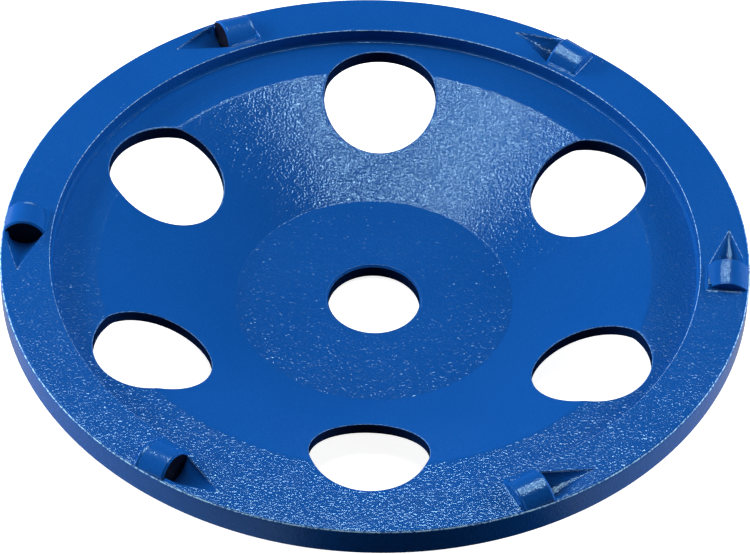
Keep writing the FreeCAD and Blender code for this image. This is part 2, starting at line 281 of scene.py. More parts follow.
@dataclass(frozen=True)
class PowderGrain:
    """The pebbled skin of a baked powder coat, with painted shade on the walls inside the rim and low in the
    grooves, and painted highlight lines along edges.

    In a pair, the first number is where a mask begins and the second where it is full. Heights and distances
    are in metres.

    Attributes:
        swell_scale: Scale of the slow swell, as a share of the pebbles' own.
        swell_share: How much of the height the swell makes.
        dots: Pebble heights that stand out as dots.
        drift: Range of the slow drift in tone.
        wall: How far the normal turns up or down, on walls.
        inside: Distance from the axis, within the raised rim.
        hole_shade: How strongly painted shade darkens the upright walls inside the raised rim, 0 to 1.
        rim_start: Distance from the axis, past the step.
        rim_end: Distance from the axis, short of the rim's outer corner.
        groove_level: Height, down in the grooves.
        groove_facing: How far the normal turns up, in the grooves.
        groove_shade: How strongly painted shade darkens the low parts of a groove, 0 to 1.
        edge: Edge values that show as a painted highlight line.
        highlight_breaks: Pebble heights at which that painted highlight line shows in full.
        highlight_least: How much of the painted highlight line shows elsewhere.
    """

    swell_scale: float = 0.2
    swell_share: float = 0.5
    dots: tuple[float, float] = (0.56, 0.68)
    drift: tuple[float, float] = (0.3, 0.7)
    wall: tuple[float, float] = (0.7, 0.2)
    inside: tuple[float, float] = (0.0785, 0.0765)
    hole_shade: float = 0.9
    rim_start: tuple[float, float] = (0.0785, 0.0792)
    rim_end: tuple[float, float] = (0.0896, 0.0888)
    groove_level: tuple[float, float] = (0.0198, 0.0179)
    groove_facing: tuple[float, float] = (0.0, 0.2)
    groove_shade: float = 0.6
    edge: tuple[float, float] = (0.8, 0.98)
    highlight_breaks: tuple[float, float] = (0.38, 0.58)
    highlight_least: float = 0.2

    def make(self) -> bpy.types.NodeTree:
        """Build the node group.

        Returns:
            A group that puts out the skin's height, its raised dots, a slow drift in tone, where shade is
            painted and where an edge shows as a painted highlight line.
        """
        tree = bpy.data.node_groups.new("powder_grain", "ShaderNodeTree")
        for label, default in (("Pebble Scale", 1500.0), ("Pebble Share", 0.5), ("Drift Scale", 40.0)):
            tree.interface.new_socket(label, in_out="INPUT", socket_type=FLOAT).default_value = default
        for label in ("Height", "Dots", "Drift", "Painted Shade", "Edge"):
            tree.interface.new_socket(label, in_out="OUTPUT", socket_type=FLOAT)
        bench = NodeBench(tree)
        given, out = bench.add("NodeGroupInput"), bench.add("NodeGroupOutput")
        where, scale = bench.place(), given.outputs["Pebble Scale"]
        pebbles = bench.fill("ShaderNodeTexNoise", Vector=where, Scale=scale, Detail=0.0)
        swell_scale = bench.product(scale, self.swell_scale)
        swell = bench.fill("ShaderNodeTexNoise", Vector=where, Scale=swell_scale, Detail=1.0)
        drift = bench.fill("ShaderNodeTexNoise", Vector=where, Scale=given.outputs["Drift Scale"], Detail=3.0)
        fine = bench.product(pebbles, given.outputs["Pebble Share"])
        bench.put(out.inputs["Height"], bench.math("ADD", fine, bench.product(swell, self.swell_share)))
        bench.put(out.inputs["Dots"], bench.ramp(pebbles, *self.dots))
        bench.put(out.inputs["Drift"], bench.ramp(drift, *self.drift))
        spot, facing = bench.add("ShaderNodeSeparateXYZ"), bench.add("ShaderNodeSeparateXYZ")
        bench.put(spot.inputs[0], where)
        bench.put(facing.inputs[0], bench.add("ShaderNodeTexCoord").outputs["Normal"])
        squares = [bench.math("POWER", spot.outputs[axis], 2.0) for axis in "XY"]
        from_axis = bench.math("SQRT", bench.math("ADD", *squares))
        # Painted shade: upright walls inside the raised rim and the low parts of the grooves are darkened.
        upright = bench.ramp(bench.math("ABSOLUTE", facing.outputs["Z"]), *self.wall)
        holes = bench.product(upright, bench.ramp(from_axis, *self.inside), self.hole_shade)
        grooves = bench.product(
            bench.ramp(spot.outputs["Z"], *self.groove_level, 0.0, self.groove_shade),
            bench.ramp(from_axis, *self.rim_start),
            bench.ramp(from_axis, *self.rim_end),
            bench.ramp(facing.outputs["Z"], *self.groove_facing),
        )
        bench.put(out.inputs["Painted Shade"], bench.math("MAXIMUM", holes, grooves))
        # Painted highlight lines along the edges that the mesh picks out, broken up by the pebbles.
        marked = bench.add("ShaderNodeAttribute", attribute_name=HIGHLIGHT_MARK).outputs["Fac"]
        broken = bench.ramp(pebbles, *self.highlight_breaks, self.highlight_least, 1.0)
        bench.put(out.inputs["Edge"], bench.product(bench.ramp(marked, *self.edge), broken))
        return tree


@dataclass(frozen=True)
class PaintFinish:
    """One coat of baked powder paint, or a face of bare diamond.

    Attributes:
        name: The material's name.
        deep: Colour of the coat where it is thickest.
        light: Colour where it is thinner, on raised dots.
        bare: Colour of the painted shade on the walls inside the rim and low in the grooves.
        edge: Colour of the painted highlight lines along edges.
        roughness: Roughness of the skin between dots.
        dot_roughness: Roughness on the dots.
        pebble_scale: Pebbles per metre.
        relief: Height of the pebbled skin, in metres.
        shine: Strength of the gloss.
        pebble_share: How much of the height the fine pebbles make.
        dot_tone: How far the dots go towards the light colour.
        drift_tone: How far the slow drift does.
        refraction: Index of refraction.
        gloss_tint: Colour of the gloss.
    """

    name: str
    deep: Colour
    light: Colour
    bare: Colour
    edge: Colour
    roughness: float
    dot_roughness: float
    pebble_scale: float
    relief: float
    shine: float
    pebble_share: float = 0.8
    dot_tone: float = 0.5
    drift_tone: float = 0.3
    refraction: float = 1.5
    gloss_tint: Colour = (0.42, 0.77, 1.0, 1.0)

    def make(self, grain: bpy.types.NodeTree) -> bpy.types.Material:
        """Build the material.

        Args:
            grain: The powder grain group.

        Returns:
            The finished material.
        """
        material = bpy.data.materials.new(self.name)
        material.use_nodes = True
        bench = NodeBench(material.node_tree)
        shader = material.node_tree.nodes["Principled BSDF"]
        skin = bench.add("ShaderNodeGroup", node_tree=grain)
        bench.put(skin.inputs["Pebble Scale"], self.pebble_scale)
        bench.put(skin.inputs["Pebble Share"], self.pebble_share)
        drift = bench.product(skin.outputs["Drift"], self.drift_tone)
        tone = bench.math("ADD", bench.product(skin.outputs["Dots"], self.dot_tone), drift, clamp=True)
        colour = bench.mix(tone, self.deep, self.light)
        # Painted shade: the bare colour goes where the group's shade mask is.
        colour = bench.mix(skin.outputs["Painted Shade"], colour, self.bare)
        # Painted highlight: the edge colour goes along the edges that the mesh picks out.
        bench.put(shader.inputs["Base Color"], bench.mix(skin.outputs["Edge"], colour, self.edge))
        rough = self.roughness
        if self.dot_roughness != self.roughness:
            rough = bench.ramp(skin.outputs["Dots"], 0.0, 1.0, self.roughness, self.dot_roughness)
        bench.put(shader.inputs["Roughness"], rough)
        bump = bench.fill("ShaderNodeBump", Height=skin.outputs["Height"], Distance=self.relief)
        bench.put(shader.inputs["Normal"], bump)
        bench.put(shader.inputs["IOR"], self.refraction)
        bench.put(shader.inputs["Specular IOR Level"], self.shine)
        bench.put(shader.inputs["Specular Tint"], self.gloss_tint)
        return material


# Mesh helpers


def stand(name: str, data: bpy.types.ID) -> bpy.types.Object:
    """Put a mesh, a lamp or a camera in the scene.

    Args:
        name: The object's name.
        data: What it shows or does.

    Returns:
        The new object.
    """
    made = bpy.data.objects.new(name, data)
    bpy.context.scene.collection.objects.link(made)
    return made


class Shell:
    """Points, faces and normals gathered for one mesh, in millimetres."""

    def __init__(self) -> None:
        """Start an empty shell."""
        self.points: list[tuple[float, float, float]] = []
        # How strongly each point gets a painted highlight line, 0 to 1
        self.edges: list[float] = []
        self.normals: list[tuple[float, float, float]] = []
        self.faces: list[tuple[int, ...]] = []

    def add_points(self, points: np.ndarray, normals: np.ndarray, edges: np.ndarray | float = 0.0) -> int:
        """Append points with their normals.

        Args:
            points: Places, one row a point.
            normals: Unit normals, one row a point.
            edges: How strongly each point gets a painted highlight line along an edge, 0 to 1.

        Returns:
            The number of the first point added.
        """
        first = len(self.points)
        self.edges.extend(np.broadcast_to(edges, len(points)).tolist())
        self.points.extend(map(tuple, points.tolist()))
        self.normals.extend(map(tuple, normals.tolist()))
        return first

    def add_grid(self, points: np.ndarray, normals: np.ndarray, edges: np.ndarray) -> None:
        """Append a ring of quads, whose last column meets the first.

        Args:
            points: Places, shaped (rows, columns, 3).
            normals: Unit normals, in the same shape.
            edges: How strongly each row gets a painted highlight line along an edge, 0 to 1.
        """
        rows, columns = points.shape[:2]
        first = self.add_points(points.reshape(-1, 3), normals.reshape(-1, 3), np.repeat(edges, columns))
        for row in range(rows - 1):
            for column in range(columns):
                right = (column + 1) % columns
                low, high = first + row * columns, first + (row + 1) * columns
                self.faces.append((low + column, low + right, high + right, high + column))

    def weld(self) -> None:
        """Join the points where two sheets meet, and drop the faces that this closes up.

        Adding 0.0 makes minus zero a plain zero, so that both join.
        """
        rounded = np.round(np.array(self.points), WELD_DIGITS) + 0.0
        _, firsts, number = np.unique(rounded, axis=0, return_index=True, return_inverse=True)
        number = number.reshape(-1)
        self.points = [self.points[i] for i in firsts]
        self.normals = [self.normals[i] for i in firsts]
        self.edges = [self.edges[i] for i in firsts]
        joined = [tuple(int(number[i]) for i in face) for face in self.faces]
        self.faces = [face for face in joined if len(set(face)) == len(face)]

    def make_object(self, name: str, material: bpy.types.Material) -> bpy.types.Object:
        """Turn the shell into a mesh object in metres.

        Args:
            name: The object's name.
            material: Its finish.

        Returns:
            The new object.
        """
        self.weld()
        mesh = bpy.data.meshes.new(name)
        mesh.from_pydata([[c * MM for c in p] for p in self.points], [], self.faces)
        mesh.materials.append(material)
        mesh.polygons.foreach_set("use_smooth", [True] * len(mesh.polygons))
        mesh.update()
        mesh.normals_split_custom_set_from_vertices(self.normals)
        # These values set where the material paints highlight lines along edges.
        mesh.attributes.new(HIGHLIGHT_MARK, "FLOAT", "POINT").data.foreach_set("value", self.edges)
        return stand(name, mesh)


def left_of(direction: np.ndarray) -> np.ndarray:
    """The unit direction's left-hand side, which is the open side of a section walked from the bore out."""
    return np.array([-direction[1], direction[0]])


def walk_section(corners: list[tuple[float, float, float]], spacing: float, steps: int) -> np.ndarray:
    """Walk a run of corners, rounding each one, with the open side always on the left.

    Args:
        corners: Radius from the axis, height and corner radius of each corner. The ends have radius 0.
        spacing: Longest straight step.
        steps: Spans in a rounded corner.

    Returns:
        Rows of (radius, height, open radius part, open height part, how far on a rounded outside corner, for
        the painted highlight line).
    """
    spots = [np.array(corner[:2]) for corner in corners]
    rows: list[np.ndarray] = []

    def straight(start: np.ndarray, end: np.ndarray) -> None:
        """Add the points of one straight run, both ends included."""
        length = float(np.linalg.norm(end - start))
        if length < NEAR:
            return
        side = left_of((end - start) / length)
        for share in np.linspace(0, 1, max(1, math.ceil(length / spacing)) + 1):
            rows.append(np.concatenate([start + (end - start) * share, side, [0.0]]))

    here = spots[0]
    for before, corner, after, (_, _, radius) in zip(spots, spots[1:], spots[2:], corners[1:]):
        into = (corner - before) / np.linalg.norm(corner - before)
        out_of = (after - corner) / np.linalg.norm(after - corner)
        cross = into[0] * out_of[1] - into[1] * out_of[0]
        turn = math.atan2(cross, float(into @ out_of))
        reach = radius * math.tan(abs(turn) / 2)
        begin = corner - into * reach
        straight(here, begin)
        sign = -1.0 if turn > 0 else 1.0
        side = left_of(into)
        centre = begin - sign * radius * side
        for share in np.linspace(0, 1, steps + 1):
            c, s = math.cos(turn * share), math.sin(turn * share)
            aim = np.array([c * side[0] - s * side[1], s * side[0] + c * side[1]])
            # Full midway round an outside corner, where the painted highlight line goes.
            edge = math.sin(math.pi * share) * (turn < 0)
            rows.append(np.concatenate([centre + sign * radius * aim, aim, [edge]]))
        here = corner + out_of * reach
    straight(here, spots[-1])
    kept = [rows[0]]
    for row in rows[1:]:
        if np.linalg.norm(row[:2] - kept[-1][:2]) > NEAR:
            kept.append(row)
    return np.array(kept)


def spokes(count: int, turn: float = 0.0) -> np.ndarray:
    """Unit directions spread evenly round the axis, the first one turned from X by so many steps."""
    angles = (np.arange(count) + turn) * 2 * math.pi / count
    return np.stack([np.cos(angles), np.sin(angles)], axis=-1)


def spin(rows: np.ndarray, count: int) -> tuple[np.ndarray, np.ndarray]:
    """Turn a section about the axis.

    Args:
        rows: Section rows from walk_section.
        count: Columns in the full turn.

    Returns:
        Points and unit normals, both shaped (rows, count, 3).
    """
    c, s = spokes(count).T[:, None, :]
    radius, height, open_r, open_z = (rows[:, i][:, None] for i in range(4))
    flat = np.ones_like(c)
    points = np.stack([radius * c, radius * s, height * flat], axis=-1)
    normals = np.stack([open_r * c, open_r * s, open_z * flat], axis=-1)
    return points, normals


def smooth_max(a: np.ndarray, b: np.ndarray, blend: float) -> np.ndarray:
    """The larger of two heights, eased where they are within blend of each other."""
    return np.maximum(a, b) + np.maximum(blend - np.abs(a - b), 0) ** 2 / (4 * blend)


def within(out: np.ndarray, ahead: np.ndarray, half: float, back: float, front: float) -> np.ndarray:
    """Which places lie within half of a segment's axis, and from back to front along it."""
    return (np.abs(out) < half) & (ahead > back) & (ahead < front)


def triangulate(points: np.ndarray, edges: list[tuple[int, int]]) -> tuple[np.ndarray, np.ndarray]:
    """Fill the plan with triangles that keep the given edges.

    Args:
        points: Places in plan, one row a point.
        edges: Pairs of point numbers that stay edges.

    Returns:
        The plan's points, and triangles as rows of three point numbers, counter-clockwise in plan.
    """
    verts, _, faces, sources = delaunay_2d_cdt([Vector(p) for p in points.tolist()], edges, [], 0, NEAR)[:4]
    plan = np.array([points[source[0]] if source else vert for vert, source in zip(verts, sources)])
    triangles = np.array([list(face) for face in faces])
    a, b, c = (plan[triangles[:, i]] for i in range(3))
    area = (b[:, 0] - a[:, 0]) * (c[:, 1] - a[:, 1]) - (b[:, 1] - a[:, 1]) * (c[:, 0] - a[:, 0])
    triangles[area < 0] = triangles[area < 0][:, ::-1]
    return plan, triangles[np.abs(area) > NEAR * NEAR]


# The wheel


@dataclass
class Segments:
    """Sizes of the six half-round segments and of the grooves ahead of them, in millimetres.

    Attributes:
        count: Segments round the rim.
        lead: Angle of the first one, in degrees.
        reach: Wheel axis to a segment's axis.
        radius: Round back of a segment.
        length: Cutting face to back end.
        flat_drop: Segment axis down to the flat that it is brazed on.
        exposure: Crown above the rim at the cutting face.
        rake: Rise towards the cutting face, in degrees.
        advance: Cutting face ahead of the segment's radius.
        face_break: Chamfer round the cutting face.
        back_round: Rounding of the back end's edge.
        bead: Height of the paint bead along that edge.
        bead_width: Width of the bead's top, and of its slope.
        paint_round: Rounding that the paint leaves on the chamfer.
        sunk: Outside of a segment, in from the rim's outer wall.
        highlight_gap: Segment's foot to the painted highlight line in the fillet behind it.
        highlight_width: Width of that painted highlight line.
        foot_corner: Rounding of the foot's corners in plan.
        fillet_width: Width of the braze and paint fillet beside a segment.
        fillet_width_behind: The same behind it.
        fillet_height: Height of the fillet beside a segment.
        fillet_height_behind: The same behind it.
        fillet_climb: How many times its height the fillet may climb under a segment.
        fillet_fade: Length over which the fillet fades out at the cutting face.
        end_ring: How far in from the round back the rings of an end face reach.
        groove_length: Cutting face to the groove's point.
        groove_half: Half the groove's width at the cutting face.
        groove_depth: Groove's depth at the cutting face.
        groove_ease: Rounding of the groove's edges.
        brink_width: Depth over which the groove's edge is marked.
        plot: Half the width, the back and the front of the strip that a segment and its groove shape.
        clearing: The same for the strip that the plain rim top leaves free for them.
    """

    count: int = 6
    lead: float = -3.0
    reach: float = 84.7
    radius: float = 5.75
    length: float = 8.0
    flat_drop: float = 0.95
    exposure: float = 3.2
    rake: float = 7.0
    advance: float = 2.6
    face_break: float = 0.45
    back_round: float = 0.25
    bead: float = 0.12
    bead_width: float = 0.4
    paint_round: float = 0.14
    sunk: float = 0.5
    highlight_gap: float = 0.55
    highlight_width: float = 0.25
    foot_corner: float = 0.8
    fillet_width: float = 0.45
    fillet_width_behind: float = 1.0
    fillet_height: float = 0.18
    fillet_height_behind: float = 0.6
    fillet_climb: float = 2.2
    fillet_fade: float = 1.0
    end_ring: float = 0.4
    groove_length: float = 12.2
    groove_half: float = 4.7
    groove_depth: float = 3.4
    groove_ease: float = 0.7
    # brink_width: Depth over which the groove's edge gets a painted highlight line.
    brink_width: float = 0.9
    plot: tuple[float, float, float] = (8.0, -9.0, 18.0)
    clearing: tuple[float, float, float] = (7.0, -8.0, 16.0)

    def angle(self, number: int) -> float:
        """A segment's place round the rim, in radians."""
        return math.radians(self.lead + number * 360 / self.count)

    def axis_height(self) -> float:
        """Segment axis below the rim top, at the cutting face."""
        return self.radius * math.cos(math.radians(self.rake)) - self.exposure

    def face_line(self) -> float:
        """Where the cutting face meets the rim top, ahead of the segment's radius."""
        return self.advance - self.axis_height() * math.tan(math.radians(self.rake))

    def back_line(self) -> float:
        """Where the back end meets the rim top."""
        return self.face_line() - self.length / math.cos(math.radians(self.rake))

    def half_footprint(self) -> float:
        """Half the segment's width at the rim top."""
        above = self.axis_height() * math.cos(math.radians(self.rake))
        return math.sqrt(self.radius**2 - above**2)

    def to_local(self, x: np.ndarray, y: np.ndarray, number: int) -> tuple[np.ndarray, np.ndarray]:
        """Turn places in plan into places outwards from a segment's axis and forwards along it."""
        c, s = math.cos(self.angle(number)), math.sin(self.angle(number))
        return x * c + y * s - self.reach, -x * s + y * c

    def to_plan(self, out: np.ndarray, ahead: np.ndarray, number: int) -> tuple[np.ndarray, np.ndarray]:
        """Turn places outwards from a segment's axis and forwards along it into places in plan."""
        c, s = math.cos(self.angle(number)), math.sin(self.angle(number))
        return (out + self.reach) * c - ahead * s, (out + self.reach) * s + ahead * c

    def groove_fall(self, out: np.ndarray, ahead: np.ndarray) -> np.ndarray:
        """Depth of the groove's cone below the rim top, negative beside it.

        Args:
            out: Places outwards from the segment's axis.
            ahead: Places forwards along it.

        Returns:
            Depths in millimetres.
        """
        ball = (self.groove_half**2 + self.groove_depth**2) / (2 * self.groove_depth)
        apex = self.advance + self.groove_length
        lean = math.tan(math.radians(self.rake))
        mouth = np.full_like(out, self.face_line())
        depth = np.zeros_like(out)
        for _ in range(FALL_PASSES):
            share = np.clip((apex - ahead) / (apex - mouth), SMALL_SHARE, 1)
            across = np.abs(out) / share
            inside = np.minimum(across, EDGE_REACH * ball)
            depth = np.sqrt(ball**2 - inside**2) - (ball - self.groove_depth)
            depth -= (across - inside) * EDGE_STEEPNESS
            mouth = self.face_line() + np.clip(depth, 0, None) * lean
        past = np.maximum(ahead - apex, 0)
        return depth * share - past

    def foot_gap(self, out: np.ndarray, ahead: np.ndarray) -> tuple[np.ndarray, np.ndarray]:
        """Distance from a segment's foot.

        Args:
            out: Places outwards from the segment's axis.
            ahead: Places forwards along it.

        Returns:
            Distances, and how far each place is behind the segment and not beside it, 0 to 1.
        """
        side = np.abs(out) - self.half_footprint() + self.foot_corner
        back = self.back_line() - ahead + self.foot_corner
        front = ahead - self.face_line() + self.foot_corner
        end = np.maximum(back, front)
        beside, behind = np.maximum(side, 0), np.maximum(end, 0)
        away = np.hypot(beside, behind)
        gap = away + np.minimum(np.maximum(side, end), 0) - self.foot_corner
        return gap, np.where(away > NEAR, (behind / np.maximum(away, NEAR)) ** 2, 0) * (back > front)

    def highlight_line(self, out: np.ndarray, ahead: np.ndarray) -> np.ndarray:
        """How far places are on the painted highlight line in the fillet behind a segment, 0 to 1."""
        gap, share = self.foot_gap(out, ahead)
        return np.exp(-(((gap - self.highlight_gap) / self.highlight_width) ** 2)) * np.sqrt(share)

    def paint_rise(self, out: np.ndarray, ahead: np.ndarray) -> np.ndarray:
        """Height of the braze and paint that fillet a segment's foot.

        Args:
            out: Places outwards from the segment's axis.
            ahead: Places forwards along it.

        Returns:
            Heights above the rim top.
        """
        gap, share = self.foot_gap(out, ahead)
        width = self.fillet_width + share * (self.fillet_width_behind - self.fillet_width)
        height = self.fillet_height + share * (self.fillet_height_behind - self.fillet_height)
        climb = np.minimum(np.maximum(1 - gap / width, 0) ** 2, self.fillet_climb)
        return height * climb * np.clip((self.face_line() - ahead) / self.fillet_fade, 0, 1)

    def rings(self, number: int, rim_top: float, rim_radius: float) -> tuple[list[np.ndarray], np.ndarray]:
        """Rings of points along a segment, from its back end to its cutting face.

        Args:
            number: Which segment, from 0.
            rim_top: Height of the rim top.
            rim_radius: Outside of the rim.

        Returns:
            The rings, and the row of walk_section that each one comes from.
        """
        core = self.radius - self.end_ring
        path = walk_section(
            [
                (-core, 0, 0),
                (self.bead, 0, self.back_round),
                (self.bead, self.bead_width, self.bead),
                (0, 2 * self.bead_width, self.bead),
                (0, self.length - self.face_break, self.paint_round),
                (-self.face_break, self.length, self.paint_round),
                (-core, self.length, 0),
            ],
            spacing=0.8,
            steps=4,
        )
        rake = math.radians(self.rake)
        start = math.asin(self.flat_drop / self.radius)
        columns_out, columns_in, columns_flat = SEGMENT_COLUMNS
        rings = []
        for inset, along in path[:, :2]:
            round_radius = self.radius + inset
            back = self.length - along
            ahead = self.advance - back * math.cos(rake)
            limit = math.sqrt((rim_radius - self.sunk) ** 2 - ahead**2) - self.reach
            flush = math.acos(limit / round_radius) if round_radius > limit else PLAIN_TURN
            turns = np.concatenate([
                np.linspace(-start, flush, columns_out, endpoint=False),
                np.linspace(flush, math.pi + start, columns_in),
            ])
            across, above = round_radius * np.cos(turns), round_radius * np.sin(turns)
            flat_across = np.linspace(across[-1], across[0], columns_flat + 2)[1:-1]
            across = np.minimum(np.concatenate([across, flat_across]), limit)
            above = np.concatenate([above, np.full(columns_flat, above[0])])
            forward = ahead - above * math.sin(rake)
            height = rim_top - self.axis_height() - back * math.sin(rake) + above * math.cos(rake)
            x, y = self.to_plan(across, forward, number)
            rings.append(np.stack([x, y, height], axis=-1))
        return rings, path

    def make(
        self,
        number: int,
        rim_top: float,
        rim_radius: float,
        material: bpy.types.Material,
        diamond: bpy.types.Material,
    ) -> bpy.types.Object:
        """Build one segment.

        Args:
            number: Which segment, from 0.
            rim_top: Height of the rim top.
            rim_radius: Outside of the rim.
            material: The segment's finish.
            diamond: The cutting face's finish.

        Returns:
            The segment's mesh object.
        """
        rings, path = self.rings(number, rim_top, rim_radius)
        mesh = bmesh.new()
        loops = [[mesh.verts.new(Vector(p) * MM) for p in ring] for ring in rings]
        on_face = path[:, 1] > self.length - NEAR
        for low, high, bare in zip(loops, loops[1:], on_face):
            for i in range(len(low)):
                quad = mesh.faces.new((low[i - 1], low[i], high[i], high[i - 1]))
                quad.material_index = int(bare)
        mesh.faces.new(loops[0][::-1])
        mesh.faces.new(loops[-1]).material_index = 1
        bmesh.ops.recalc_face_normals(mesh, faces=mesh.faces)
        for face in mesh.faces:
            face.smooth = True
        name = f"segment_{number + 1}_painted"
        data = bpy.data.meshes.new(name)
        mesh.to_mesh(data)
        mesh.free()
        # Painted highlight lines along the segment's rounded and chamfered edges.
        highlight_marks = np.repeat(path[:, 4], len(rings[0])).tolist()
        data.attributes.new(HIGHLIGHT_MARK, "FLOAT", "POINT").data.foreach_set("value", highlight_marks)
        data.materials.append(material)
        data.materials.append(diamond)
        made = stand(name, data)
        made.modifiers.new("even_normals", "WEIGHTED_NORMAL")
        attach(made, ROOT_BODY)
        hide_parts(f"segment_{number + 1}")
        return made


@dataclass
class CupWheel:
    """The turned and drilled wheel, in millimetres.

    Attributes:
        rim_radius: Outside of the rim.
        bore_radius: Arbor bore.
        height: Hub back face to rim top.
        hub_thickness: Clamped hub.
        hub_radius: Flat hub inside the cone.
        cone_wall: Wall of the cone, square to its face.
        cone_radius: Top of the cone.
        ledge_depth: Rim top down to the ledge.
        rim_width: Raised rim, across.
        rim_thickness: Raised rim, top to underside.
        window_radius: One window.
        window_reach: Wheel axis to a window's centre.
        window_count: Windows round the wheel.
        window_lead: Angle of the first one, in degrees.
        window_ease: Rounding of a window's edges.
        hub_round: Rounding where the hub's flat meets the cone.
        cone_round: Rounding at the top of the cone.
        back_round: Rounding under the cone, at the hub.
        rim_back_round: Rounding under the cone, at the rim.
        step_round: Rounding at the foot of the step.
        lip_round: Rounding at the top of the step.
        rim_round: Rounding of the rim's outer corner.
        rim_under_round: Rounding of the rim's lower corner.
        bore_chamfer: Chamfer at both ends of the bore.
        bore_round: Rounding of that chamfer's edges.
        level_edge: Width at the rim top's edges over which grooves and fillets fade out.
        segments: The segments and their grooves.
    """

    rim_radius: float = 90.0
    bore_radius: float = 11.115
    height: float = 21.0
    hub_thickness: float = 4.0
    hub_radius: float = 33.7
    cone_wall: float = 3.0
    cone_radius: float = 66.5
    ledge_depth: float = 3.7
    rim_width: float = 12.0
    rim_thickness: float = 7.4
    window_radius: float = 14.0
    window_reach: float = 60.0
    window_count: int = 6
    window_lead: float = 30.0
    window_ease: float = 0.45
    hub_round: float = 1.0
    cone_round: float = 3.0
    back_round: float = 3.0
    rim_back_round: float = 2.0
    step_round: float = 0.8
    lip_round: float = 0.3
    rim_round: float = 0.7
    rim_under_round: float = 0.6
    bore_chamfer: float = 0.5
    bore_round: float = 0.15
    level_edge: float = 0.4
    segments: Segments = field(default_factory=Segments)

    def __post_init__(self) -> None:
        """Work out the section that the sizes give."""
        self.underside = self.height - self.rim_thickness
        self.ledge = self.height - self.ledge_depth
        self.rim_inner = self.rim_radius - self.rim_width
        slope = math.atan2(self.ledge - self.hub_thickness, self.cone_radius - self.hub_radius)
        drop = self.cone_wall / math.cos(slope)
        self.hub_back = self.hub_radius + (drop - self.hub_thickness) / math.tan(slope)
        self.rim_back = self.hub_back + self.underside / math.tan(slope)
        self.dish_start, self.dish_end = self.bore_radius + BORE_LAND, self.rim_inner - STEP_LAND
        self.flat_start, self.flat_end = self.rim_inner + LIP_LAND, self.rim_radius - RIM_LAND
        self.under_end = self.rim_radius - UNDER_LAND
        self.shell = Shell()

    def dish_rows(self) -> np.ndarray:
        """Section of the inside, from the bore's edge to the foot of the rim."""
        corners = [
            (self.dish_start, self.hub_thickness, 0),
            (self.hub_radius, self.hub_thickness, self.hub_round),
            (self.cone_radius, self.ledge, self.cone_round),
            (self.dish_end, self.ledge, 0),
        ]
        return walk_section(corners, spacing=1.6, steps=6)

    def under_rows(self) -> np.ndarray:
        """Section of the underside, from the bore's edge to the rim, with its normals facing down."""
        corners = [
            (self.under_end, self.underside, 0),
            (self.rim_back, self.underside, self.rim_back_round),
            (self.hub_back, 0, self.back_round),
            (self.dish_start, 0, 0),
        ]
        return walk_section(corners, spacing=1.8, steps=6)[::-1]

    def window_centres(self) -> list[np.ndarray]:
        """Plan centres of the windows."""
        centres = []
        for i in range(self.window_count):
            angle = math.radians(self.window_lead + i * 360 / self.window_count)
            centres.append(self.window_reach * np.array([math.cos(angle), math.sin(angle)]))
        return centres

    def sheet_points(self, rows: np.ndarray) -> tuple[np.ndarray, list[tuple[int, int]]]:
        """Plan points of a sheet: rings round the axis, and rings round each window.

        Args:
            rows: The section, from the bore outwards.

        Returns:
            The points, and the pairs of them that stay edges.
        """
        centres = self.window_centres()
        clear = self.window_radius + self.window_ease
        points, edges = [], []
        for number, row in enumerate(rows):
            radius = row[0]
            at_edge = number in (0, len(rows) - 1)
            count = TURN_STEPS if radius > COARSE_RADIUS else HUB_STEPS
            ring = radius * spokes(count)
            away = np.min([np.hypot(*(ring - centre).T) for centre in centres], axis=0)
            keep = (away > clear + WINDOW_MARGIN) | at_edge
            index = np.full(count, -1)
            index[keep] = len(points) + np.arange(keep.sum())
            points.extend(ring[keep])
            for i in range(count):
                a, b = index[i], index[(i + 1) % count]
                if a >= 0 and b >= 0:
                    edges.append((int(a), int(b)))
        for centre in centres:
            for step, out in enumerate(WINDOW_RINGS):
                first = len(points)
                points.extend(centre + (clear + out) * spokes(WINDOW_STEPS, step % 2 / 2))
                if step == 0:
                    edges.extend((first + i, first + (i + 1) % WINDOW_STEPS) for i in range(WINDOW_STEPS))
        return np.array(points), edges

    def build_sheet(self, rows: np.ndarray, patch: Patch) -> None:
        """Add the inside or the underside, with its windows left open.

        Args:
            rows: The section, from the bore outwards.
            patch: Which side it is.
        """
        clear = self.window_radius + self.window_ease
        plan, triangles = triangulate(*self.sheet_points(rows))
        radii = np.hypot(plan[:, 0], plan[:, 1])
        middle = plan[triangles].mean(axis=1)
        middle_radius = np.hypot(middle[:, 0], middle[:, 1])
        away = np.min([np.hypot(*(middle - centre).T) for centre in self.window_centres()], axis=0)
        inner = np.hypot(*plan[triangles].transpose(2, 0, 1)).min(axis=1)
        keep = (away > clear * math.cos(math.pi / WINDOW_STEPS)) & (middle_radius < rows[-1, 0])
        keep &= ~((inner < rows[0, 0] + NEAR) & (middle_radius < rows[0, 0]))
        places, normals = self.lift(plan, radii, rows)
        # Soft painted highlight lines on the sheet's rounded outside corners.
        highlights_here = np.interp(radii, rows[:, 0], rows[:, 4]) * SOFT_HIGHLIGHT
        first = self.shell.add_points(places, normals, highlights_here)
        kept = triangles[keep] + first
        kept = kept if patch is Patch.TOP else kept[:, ::-1]
        self.shell.faces.extend(map(tuple, kept.tolist()))

    def lift(self, plan: np.ndarray, radii: np.ndarray, rows: np.ndarray) -> tuple[np.ndarray, np.ndarray]:
        """Raise plan points onto a turned section.

        Args:
            plan: Places in plan.
            radii: Their distances from the axis.
            rows: The section, from the bore outwards.

        Returns:
            Places and unit normals.
        """
        height = np.interp(radii, rows[:, 0], rows[:, 1])
        open_r = np.interp(radii, rows[:, 0], rows[:, 2])
        open_z = np.interp(radii, rows[:, 0], rows[:, 3])
        places = np.column_stack([plan, height])
        normals = np.column_stack([plan / radii[:, None] * open_r[:, None], open_z])
        return places, normals / np.linalg.norm(normals, axis=1)[:, None]

